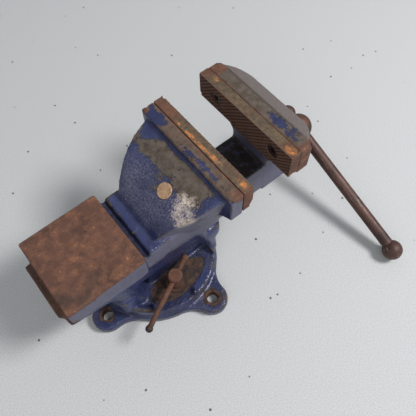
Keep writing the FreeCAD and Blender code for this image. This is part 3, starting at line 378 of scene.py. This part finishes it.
def painted_casting(name):
    finish = Finish(name)
    rust_colour, rust_rough, rust_height = rust_layers(finish, 0.15, 0.45)
    broad = finish.noise(30, 4, 0.6)
    middle = finish.noise(150, 6, 0.68)
    fine = finish.noise(620, 5, 0.7)
    pebble = finish.cells(520, "SMOOTH_F1")
    paint, dusty = paint_coat(finish, broad, middle, fine)
    bare = paint_gone(finish, broad, middle, fine)

    iron = finish.blend(finish.step(middle, 0.40, 0.62), IRON_BROWN, IRON_GREY)
    ashen = finish.blend(finish.step(fine, 0.35, 0.62), IRON_GREY, IRON_ASH)
    iron = finish.blend(finish.stored("ash"), iron, ashen)
    iron = finish.blend(finish.stored("rust"), iron, rust_colour)
    colour = finish.blend(bare, paint, iron)

    speckle = finish.plus(finish.times(middle, 0.7), finish.times(fine, 1.5))
    scale = finish.step(finish.plus(finish.stored("pale"), speckle), 1.62, 2.15)
    colour = finish.blend(finish.times(scale, 0.9), colour, PALE_SCALE)
    # the dark mix: grime, and painted shade in grooves, hollows and low places
    grime = finish.times(finish.stored("grime"), finish.step(middle, 0.30, 0.60))
    colour = finish.blend(grime, colour, GREASE_AND_SHADE)

    rough = finish.level(bare, finish.level(dusty, 0.27, 0.58), rust_rough)
    height = finish.level(bare, finish.plus(finish.times(pebble, 0.5), 0.9), finish.times(rust_height, 0.35))
    normal = finish.bump(height, 0.0007)
    normal = finish.bump(finish.plus(middle, finish.times(broad, 2.0)), 0.0008, normal, 0.7)
    return finish.surface(colour, rough, 0.0, normal)


blue_casting = painted_casting("worn_blue_paint")
rusty_iron = rust_finish("rusty_iron")
dark_rust = rust_finish("dark_rust", dark=0.9, orange=0.1, depth=0.0002)

# %% [markdown]
# ## The body casting
# The body is one iron casting: foot, neck, housing, anvil and the curved web behind the fixed jaw. It is copied
# from the design piece, wrapped in a net with cells of 1.3 mm, and smoothed three rounds, which rounds its
# edges to about a millimetre. The neck is different: on the real casting it flows into the foot and the housing
# with no edge at all, so between foot and slide it gets many more rounds. Then come small knocks.

# %% Knocks and chips
def scoop(points, normals, centre, radius, ragged, seed):
    """Hollow the surface out where a ragged ball cuts into it. Only inward moves count. Millimetres."""
    middle = np.array(centre) / TO_MM
    within_reach = np.linalg.norm(points - middle, axis=1) < radius * 1.4 / TO_MM
    for index in np.nonzero(within_reach)[0]:
        away = points[index] - middle
        distance = np.linalg.norm(away)
        wave = noise.fractal(Vector(points[index]) * 260 + Vector((seed, 0, 0)), 0.8, 2.0, 3)
        edge = radius * (1 + ragged * wave) / TO_MM
        if 1e-9 < distance < edge and away @ normals[index] < 0:
            points[index] = middle + away * edge / distance


def skin(points, normals, depth, scale, seed):
    """Push the surface in and out a little, as sand leaves it. depth is in metres."""
    return points + normals * (wavy(points, scale, seed) * depth)[:, None]

# %% Body casting
CASTING_CELL = 0.0013               # metres between the net's points
EDGE_ROUNDS, NECK_ROUNDS = 3, 70    # rounds of smoothing, everywhere and on the neck
NECK_LOW, NECK_HIGH = 24, 96        # heights in mm where the neck's smoothing starts and stops
BODY_KNOCKS = [
    ((-101, -42, 119), 3.2), ((-22, -43, 119), 2.4), ((-60, -43, 119.5), 2.0), ((-101, 20, 119.5), 2.0),
    ((53, -63, 160), 3.0), ((58, 63.5, 160), 2.6), ((66, -60, 128), 3.5), ((-108, -20, 101), 2.5)]

body_mesh = even_net("vise_body", CASTING_CELL)
body_points, body_normals = soften(body_mesh, EDGE_ROUNDS)
flowing = smoothed(body_points, *neighbours(body_mesh), NECK_ROUNDS)
rise = body_points[:, 2] * TO_MM
neck = np.clip((rise - NECK_LOW) / 8, 0, 1) * np.clip((NECK_HIGH - rise) / 10, 0, 1)
body_points += neck[:, None] * (flowing - body_points)
body_points = skin(body_points, body_normals, depth=0.00012, scale=180, seed=1)
for number, (spot, size) in enumerate(BODY_KNOCKS):
    scoop(body_points, body_normals, spot, size, ragged=0.5, seed=number)
set_points(body_mesh, body_points)

# %% [markdown]
# Most places on the body come from its use. The anvil's top is bare from hammering and its sides are chipped.
# The tail and the foot's dish gather wet dirt and rust, and the dish, the foot and the groove at the anvil's jaw
# end are also darkened with painted shade. The upright sides are paled with painted sheen. The jaw pad is rubbed
# by work, and the web below it is worn where hands and filings pass, with one pale patch of dried scale and a
# paler middle that is partly a painted highlight.

# %% Places on the body
ruffle = wavy(body_points, scale=45, seed=5)
x_mm, y_mm, z_mm = (body_points * TO_MM).T
anvil = soft_box(body_points, (-110, -50, 116.5), (-21, 50, 130), 3)
anvil_sides = soft_box(body_points, (-110, -50, 100), (-21, 50, 125), 3) * np.clip(0.35 + ruffle, 0, 1)
tail = soft_box(body_points, (-120, -32, 40), (-97, 32, 102), 4)
# the dish is darkened with dirt and with painted shade in its hollow
dish = (soft_ball(body_points, (4, -42, 20), (34, 20, 12), 9)
        + soft_ball(body_points, (-4, 42, 20), (34, 20, 12), 9))
dish = dish * (z_mm < 30) * np.clip((57 - np.hypot(x_mm, y_mm)) / 3, 0, 1)
pad_top = soft_box(body_points, (52, -66, 157.5), (68, 66, 165), 2.5)
pad_ends = (soft_ball(body_points, (55, 59, 159), (3, 3, 3), 2)
            + soft_ball(body_points, (62, -60, 158), (5, 6, 6), 3))
web_worn = (soft_box(body_points, (28, -48, 122), (53.0, 56, 157), 8)
            + soft_ball(body_points, (19, 4, 143), (9, 10, 12), 9))
web_pale = soft_ball(body_points, (25, -38, 141), (15, 17, 18), 16)
# a paler middle of the web: partly wear, partly a painted highlight
web_haze = soft_ball(body_points, (14, 4, 134), (20, 44, 34), 24)
corner_line = soft_box(body_points, (50.6, -52, 148), (52.8, 54, 157), 0.8)
strip_paint = (soft_ball(body_points, (57, 56, 156), (16, 26, 12), 14) * 1.5
               + soft_ball(body_points, (55, -20, 159), (5, 34, 4), 7) * 0.8)
gap_front = soft_box(body_points, (64.5, -66, 40), (68, 66, 165), 2)
# the groove at the anvil's jaw end is darkened with dirt and painted shade
groove = soft_box(body_points, (-24, -40, 106), (-15.5, 40, 113.5), 2.5)
# darker towards the bottom of the body: grime and painted shade under the housing
foot = np.clip((36 - z_mm) / 10, 0, 1)
# the upright sides high on the body, paled grey with painted sheen
upright_side_sheen = (np.abs(body_normals[:, 1]) > 0.75) * np.clip((z_mm - 74) / 16, 0, 1)
print("share of points on the anvil's top:", round(float(anvil.mean()), 3))

# %% Where the body is bare, rusty, pale or dirty, and where sheen and shade are painted
store_masks(
    body_mesh,
    bare=np.clip(anvil * 1.4 + anvil_sides * 0.3 + tail + dish * (0.62 + 0.5 * ruffle) + pad_top * 0.66
                 + pad_ends * 0.9 + web_worn * (0.46 + 0.30 * ruffle) + web_pale * 0.12 + gap_front * 0.4
                 - corner_line * 0.8 - strip_paint * (0.42 + 0.3 * ruffle), 0, 1.5),
    rust=np.clip(anvil + anvil_sides + tail + dish * 0.8 + pad_ends + gap_front + pad_top * 0.25, 0, 1),
    pale=np.clip(web_pale * (0.9 + 0.5 * ruffle), 0, 1),
    haze=np.clip(web_haze * 0.55 + 0.12 * ruffle, 0, 1),
    dust=np.clip(0.50 * upright_side_sheen + 0.22 * ruffle, 0, 1),
    grime=np.clip(groove * 0.9 + dish * 0.85 + tail * 0.55 + foot * (0.3 + 0.5 * ruffle), 0, 1))
place_mesh(body_mesh, "body_casting", "body", "vise_body", blue_casting)

# %% [markdown]
# ## The swivel base and the moving jaw
# Both are castings too, so they are made the same way. The base stays flat on the bench, and rust starts round
# its bolt holes, where washers have cut the paint.

# %% Swivel base casting
BASE_CELL = 0.0012
LUG_CIRCLE = 77                             # mm from the swivel axis to each bolt hole
LUG_TURNS = (15.3, 105.3, 195.3, 285.3)     # degrees from the slide to each bolt hole

base_mesh = even_net("swivel_base", BASE_CELL)
base_points, base_normals = soften(base_mesh, EDGE_ROUNDS)
base_points = skin(base_points, base_normals, depth=0.00015, scale=160, seed=3)
base_points[:, 2] = np.maximum(base_points[:, 2], 0)
set_points(base_mesh, base_points)
holes = np.zeros(len(base_points))
for turn in LUG_TURNS:
    spot = (LUG_CIRCLE * math.cos(math.radians(turn)), LUG_CIRCLE * math.sin(math.radians(turn)), 9)
    holes = np.maximum(holes, soft_ball(base_points, spot, (9.0, 9.0, 12), 6))
base_ruffle = wavy(base_points, scale=40, seed=8)
# Round the bolt holes the dark mix also paints the shade inside them.
store_masks(
    base_mesh,
    bare=np.clip(holes * (0.42 + 1.0 * base_ruffle), 0, 1),
    rust=np.clip(0.25 + holes + base_ruffle, 0, 1),
    haze=np.clip(0.1 + 0.3 * base_ruffle, 0, 1),
    dust=np.clip(0.4 * base_ruffle, 0, 1),
    grime=np.clip(0.34 + holes * 0.4 + 0.6 * base_ruffle, 0, 1))
place_mesh(base_mesh, "base_casting", "base", "swivel_base", blue_casting)

# %% [markdown]
# The slide is part of the moving jaw: its top is machined and oiled, and painted near black for the shade
# between the jaws, while the jaw's back is worn to grey iron with a last patch of paint near one end.

# %% Moving jaw casting
JAW_KNOCKS = [((143, 63, 160), 3.5), ((131, -63.5, 160), 2.8), ((143, -63, 158), 4.0), ((150, -52, 158), 2.0)]

jaw_mesh = even_net("moving_jaw", CASTING_CELL)
jaw_points, jaw_normals = soften(jaw_mesh, EDGE_ROUNDS)
jaw_points = skin(jaw_points, jaw_normals, depth=0.00012, scale=170, seed=4)
for number, (spot, size) in enumerate(JAW_KNOCKS):
    scoop(jaw_points, jaw_normals, spot, size, ragged=0.5, seed=number + 20)
set_points(jaw_mesh, jaw_points)

# %% Where the moving jaw is bare, rusty or dirty, and where the slide's top is painted dark with shade
jaw_ruffle = wavy(jaw_points, scale=45, seed=9)
# the slide's top between the jaws: oiled, and painted near black for the shade there
slide_top = soft_box(jaw_points, (-110, -30, 92.8), (129, 30, 96), 1.2)
slide_inside = soft_box(jaw_points, (-110, -19, 30), (129, 19, 88.5), 2)
jaw_back = soft_box(jaw_points, (128, -70, 120), (190, 70, 165), 8)
back_slope = soft_box(jaw_points, (143.5, -70, 40), (190, 70, 165), 2.5)
ridge = soft_box(jaw_points, (141.6, -50, 155), (143.4, 50, 163), 1.0)
blue_patch = soft_ball(jaw_points, (137, -36, 159), (7, 24, 8), 10)
jaw_ends = (soft_box(jaw_points, (126, 49, 118), (143, 70, 165), 3)
            + soft_box(jaw_points, (126, -70, 118), (143, -56, 165), 3))
seat = soft_box(jaw_points, (126, -70, 108), (130.5, 70, 165), 2)
store_masks(
    jaw_mesh,
    bare=np.clip(jaw_back * (0.72 + 0.3 * jaw_ruffle) - blue_patch * (0.46 + 0.6 * jaw_ruffle)
                 + jaw_ends * 1.2 + seat + slide_inside, 0, 1.4),
    rust=np.clip(jaw_ends + seat + slide_inside, 0, 1),
    ash=back_slope * 0.9,
    haze=np.clip(0.1 + 0.2 * jaw_ruffle, 0, 1),
    dust=np.clip(0.45 - 0.40 * blue_patch + 0.1 * jaw_ruffle, 0, 1),
    grime=np.clip(slide_top * 1.6 + 0.25 * slide_inside + ridge * 0.8, 0, 1.6))
place_mesh(jaw_mesh, "jaw_casting", "jaw", "moving_jaw", blue_casting)

# %% [markdown]
# ## Jaw plates
# The hardened plates carry coarse crossed grooves so that work can't slip. A plate is 125 mm long and its
# grooves are 3.3 mm apart, so a fine net of 0.45 mm cells can carry them as real shape: points on the gripping
# face sink where they lie on a groove. Ends and edges are chipped, as hard steel chips rather than bends.

# %% Cut the grooves
GROOVE_LEAN = math.radians(48)                              # from upright
GROOVE_PITCH, GROOVE_WIDTH, GROOVE_DEPTH = 3.3, 1.9, 0.95   # millimetres
FACE_BAND = 0.25                                            # points this near the face, in mm, lie on it


def grooves(points, face, facing):
    """Sink the points of the face that lie on a groove, and say how deep each lies, from 0 to 1."""
    on_face = (points[:, 0] * TO_MM - face) * facing > -FACE_BAND
    leaning_one_way = points[:, 1] * math.cos(GROOVE_LEAN) + points[:, 2] * math.sin(GROOVE_LEAN)
    leaning_other_way = points[:, 1] * math.cos(GROOVE_LEAN) - points[:, 2] * math.sin(GROOVE_LEAN)
    sunk = np.zeros(len(points))
    for line in (leaning_one_way * TO_MM, leaning_other_way * TO_MM):
        from_line = np.abs((line + GROOVE_PITCH / 2) % GROOVE_PITCH - GROOVE_PITCH / 2)
        sunk = np.maximum(sunk, np.clip(1 - from_line / (GROOVE_WIDTH / 2), 0, 1))
    points[on_face, 0] -= facing * sunk[on_face] * GROOVE_DEPTH / TO_MM
    print("points sunk into grooves:", int((sunk[on_face] > 0).sum()))
    return np.where(on_face, sunk, 0)

# %% [markdown]
# A plate is rusty all over, but its top is rubbed to tan metal by hands, with a few flames of fresh rust where
# water stands. On the gripping face the crests shine through and the grooves are packed with dark dirt.

# %% Plate steel
PLATE_TAN, PLATE_CREST, PLATE_DIRT, PLATE_FLAME = (
    tint(112, 94, 72), tint(122, 92, 77), tint(44, 29, 26), tint(204, 130, 66))


def plate_finish(name):
    finish = Finish(name)
    colour, rough, height = rust_layers(finish, 0.35, 0.7)
    streak = finish.noise(60, 6, 0.72, (1.0, 0.45, 1.0))
    tan = finish.blend(finish.step(finish.noise(260, 5, 0.7), 0.35, 0.65), PLATE_TAN, IRON_BROWN)
    shown = finish.times(finish.stored("rubbed"), finish.step(streak, 0.34, 0.50))
    colour = finish.blend(shown, colour, tan)
    flame = finish.times(finish.stored("orange"), finish.step(finish.noise(210, 5, 0.7), 0.42, 0.62))
    colour = finish.blend(flame, colour, PLATE_FLAME)
    colour = finish.blend(finish.times(finish.stored("crest"), 0.7), colour, PLATE_CREST)
    colour = finish.blend(finish.times(finish.stored("sunk"), 0.9), colour, PLATE_DIRT)
    rough = finish.level(shown, rough, 0.5)
    return finish.surface(colour, rough, 0.2, finish.bump(height, 0.0003))


plate_steel = plate_finish("serrated_steel")

# %% One jaw plate
PLATE_CELL, PLATE_ROUNDS = 0.00045, 2
COLOUR_BAND = 0.9       # the gripping face's colours reach this far behind it, in mm
REDDENING = 9           # mm along the top over which tan metal turns to rust


def jaw_plate(node, body, face, facing, middle, reach, chips, orange_spots, name):
    """middle and reach say which part of the top, along Y in mm, is rubbed to tan metal."""
    mesh = even_net(node, PLATE_CELL)
    points, normals = soften(mesh, PLATE_ROUNDS)
    sunk = grooves(points, face, facing)
    for number, (spot, size) in enumerate(chips):
        scoop(points, normals, spot, size, ragged=0.55, seed=number + 40)
    set_points(mesh, points)
    top = soft_box(points, (0, -70, 158.3), (200, 70, 165), 1.0)
    orange = np.zeros(len(points))
    for spot, size in orange_spots:
        orange = np.maximum(orange, soft_ball(points, spot, size, 2.5))
    on_face = (points[:, 0] * TO_MM - face) * facing > -COLOUR_BAND
    ruddy = np.clip((np.abs(points[:, 1] * TO_MM - middle) - reach) / REDDENING, 0, 1)
    store(mesh, "rubbed", top * (1 - 0.85 * ruddy))
    store(mesh, "orange", orange)
    store(mesh, "crest", on_face * np.clip(1 - 2 * sunk, 0, 1))
    store(mesh, "sunk", on_face * sunk)
    place_mesh(mesh, name, body, node, plate_steel)

# %% Both plates
FIXED_CHIPS = [
    ((77, 61, 159.5), 3.0), ((78, 49, 161), 2.4), ((77.5, -64, 133), 5.0), ((78, -62, 130), 5.5),
    ((77, -64, 150), 2.6), ((77.6, 18, 161), 1.8), ((77.6, -22, 161), 1.6), ((66, -63.5, 160.4), 1.6)]
FIXED_FLAMES = [
    ((68.5, 8, 159.6), (1.8, 22, 2)), ((69.5, -20, 159.6), (2.0, 9, 2)), ((71, -54, 159.6), (3, 5, 2))]
MOVING_CHIPS = [
    ((118, 63, 131), 4.0), ((118, 64, 160.5), 2.6), ((118, -63.5, 160.4), 2.0), ((118, -20, 161), 1.5),
    ((118, 30, 161.2), 1.7), ((124, -64, 131), 3.0)]
MOVING_FLAMES = [((124, -55, 159.6), (3.5, 5, 2)), ((126, 48, 159.6), (2, 5, 2))]

fixed_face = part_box("fixed_jaw_plate")[1].x * TO_MM
moving_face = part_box("moving_jaw_plate")[0].x * TO_MM
print("gap between the plates:", round(moving_face - fixed_face, 1), "mm")
jaw_plate("fixed_jaw_plate", "body", fixed_face, 1, -14, 40, FIXED_CHIPS, FIXED_FLAMES, "fixed_plate")
jaw_plate("moving_jaw_plate", "jaw", moving_face, -1, 4, 44, MOVING_CHIPS, MOVING_FLAMES, "moving_plate")

# %% [markdown]
# ## Turned and forged steel
# The handle, the spindle, the lock nuts and their bars are plain steel. Their design pieces already have the
# right shape, so they keep it and only take a finish. A handle is polished by hands where it is held and
# streaked along its length, so its noise is turned to lie along the bar and stretched that way.

# %% Handle steel
HANDLE_TILT = 20.1      # degrees that the bar leans from level
HANDLE_DARK, HANDLE_BROWN = tint(58, 38, 33), tint(88, 60, 51)
HANDLE_POLISHED, HANDLE_PITS = tint(150, 128, 116), tint(40, 26, 23)


def handle_finish(name, tilt):
    finish = Finish(name)
    lean = finish.add("ShaderNodeMapping", Vector=finish.place, Rotation=(math.radians(-tilt), 0, 0)).outputs[0]
    long = finish.add("ShaderNodeMapping", Vector=lean, Scale=(1.0, 0.12, 1.0)).outputs[0]
    streak = finish.add("ShaderNodeTexNoise", Vector=long, Scale=260.0, Detail=5.0, Roughness=0.65)
    streak = streak.outputs["Fac"]
    grain = finish.noise(800, 4, 0.7)
    broad = finish.noise(45, 4, 0.6)
    colour = finish.blend(finish.step(broad, 0.38, 0.62), HANDLE_DARK, HANDLE_BROWN)
    colour = finish.blend(finish.step(streak, 0.58, 0.70), colour, HANDLE_POLISHED)
    colour = finish.blend(finish.times(finish.step(grain, 0.50, 0.64), 0.7), colour, HANDLE_PITS)
    rough = finish.level(finish.step(streak, 0.5, 0.7), 0.52, 0.38)
    height = finish.plus(grain, finish.times(streak, 0.6))
    return finish.surface(colour, rough, 0.35, finish.bump(height, 0.00022))


handle_steel = handle_finish("handle_steel", HANDLE_TILT)

# %% [markdown]
# ## Spindle steel and badge
# The spindle and what turns with it are wet with oil, so their rust is dark. The badge is a plain round disc
# of dull brass, whose warm grain needs only one noise.

# %% Spindle steel and badge metal
BRASS_LIGHT, BRASS_DARK = tint(192, 158, 124), tint(150, 116, 86)
spindle_steel = rust_finish("oiled_spindle", dark=0.8, orange=0.25, depth=0.0002)
badge = Finish("dull_badge")
badge_grain = badge.noise(500, 5, 0.7)
badge_colour = badge.blend(badge.step(badge_grain, 0.42, 0.62), BRASS_LIGHT, BRASS_DARK)
badge_metal = badge.surface(badge_colour, 0.5, 0.3, badge.bump(badge_grain, 0.0002))

# %% Dress the steel pieces
def dress(material, *names):
    for name in names:
        mesh = nodes[name].data
        mesh.materials.clear()
        mesh.materials.append(material)
    print(material.name, "on", ", ".join(names))


dress(handle_steel, "handle_bar", "handle_knob_lower", "handle_knob_upper")
dress(spindle_steel, "spindle", "thrust_washer", "spindle_collar", "collar_pin")
for side in ("near", "far"):
    dress(rusty_iron, "lock_nut_" + side, "lock_bar_" + side)
    dress(dark_rust, "lock_washer_" + side, "lock_bolt_" + side)
dress(dark_rust, "fixed_jaw_screws", "moving_jaw_screws")
dress(dark_rust, "pivot_bolt", "pivot_washer", "nut_bolt", "spindle_nut")
dress(badge_metal, "maker_badge")

# %% [markdown]
# ## Floor, light and camera
# The floor is plain and pale, with a fine speckle and a little grit. Two soft lights stand on the near side: a
# strong one high at the handle's end, which throws soft shadows towards the anvil's end and the far side, and a
# weak, wide one at the anvil's end to open them up. The camera looks down at 62 degrees.

# %% Floor
FLOOR_HALF = 6.0        # metres from the middle of the floor to its sides
FLOOR_GREY, FLOOR_PALE, FLOOR_GRIT = tint(160, 161, 161), tint(204, 205, 205), tint(92, 84, 78)

floor_mesh = bmesh.new()
bmesh.ops.create_grid(floor_mesh, x_segments=2, y_segments=2, size=FLOOR_HALF)
floor_data = bpy.data.meshes.new("floor")
floor_mesh.to_mesh(floor_data)
floor_mesh.free()
floor = bpy.data.objects.new("floor", floor_data)
bpy.context.scene.collection.objects.link(floor)
floor_finish = Finish("pale_floor")
speckle = floor_finish.step(floor_finish.noise(900, 5, 0.8), 0.32, 0.62)
grit = floor_finish.step(floor_finish.cells(42), 0.065, 0.045)
floor_colour = floor_finish.blend(speckle, FLOOR_GREY, FLOOR_PALE)
floor_colour = floor_finish.blend(grit, floor_colour, FLOOR_GRIT)
floor_data.materials.append(floor_finish.surface(floor_colour, 0.85))

# %% Lights
LIT_SPOT = (0.03, 0, 0.05)      # both lights point at the middle of the vise


def soft_light(name, spot, size, power):
    lamp = bpy.data.lights.new(name, "AREA")
    lamp.size = size
    lamp.energy = power
    holder = bpy.data.objects.new(name, lamp)
    bpy.context.scene.collection.objects.link(holder)
    holder.location = spot
    holder.rotation_euler = (Vector(LIT_SPOT) - Vector(spot)).to_track_quat("-Z", "Y").to_euler()
    print(name, power, "W,", size, "m wide")


soft_light("key_light", (0.85, -0.75, 1.45), 0.45, 28)
soft_light("fill_light", (-0.9, -0.9, 1.5), 1.6, 8)
world = bpy.data.worlds.new("studio")
world.use_nodes = True
sky = world.node_tree.nodes["Background"]
sky.inputs["Color"].default_value = (0.92, 0.95, 1.0, 1)
sky.inputs["Strength"].default_value = 0.42
bpy.context.scene.world = world

# %% Camera
CAMERA_PLACE = (-0.07205, -0.19905, 0.50027)
HEADING, DIP, ROLL = (math.radians(angle) for angle in (53.51, 62.01, -2.74))

view = bpy.data.cameras.new("view")
view.lens = 42.18
view.sensor_width = 36
view.clip_start = 0.01
camera = bpy.data.objects.new("view", view)
bpy.context.scene.collection.objects.link(camera)
camera.matrix_world = (Matrix.Translation(CAMERA_PLACE)
                       @ Matrix.Rotation(HEADING - math.pi / 2, 4, "Z")
                       @ Matrix.Rotation(math.pi / 2 - DIP, 4, "X")
                       @ Matrix.Rotation(ROLL, 4, "Z"))
bpy.context.scene.camera = camera
bpy.context.scene.view_settings.view_transform = "Standard"
print("camera", round(CAMERA_PLACE[2] * TO_MM), "mm above the floor")
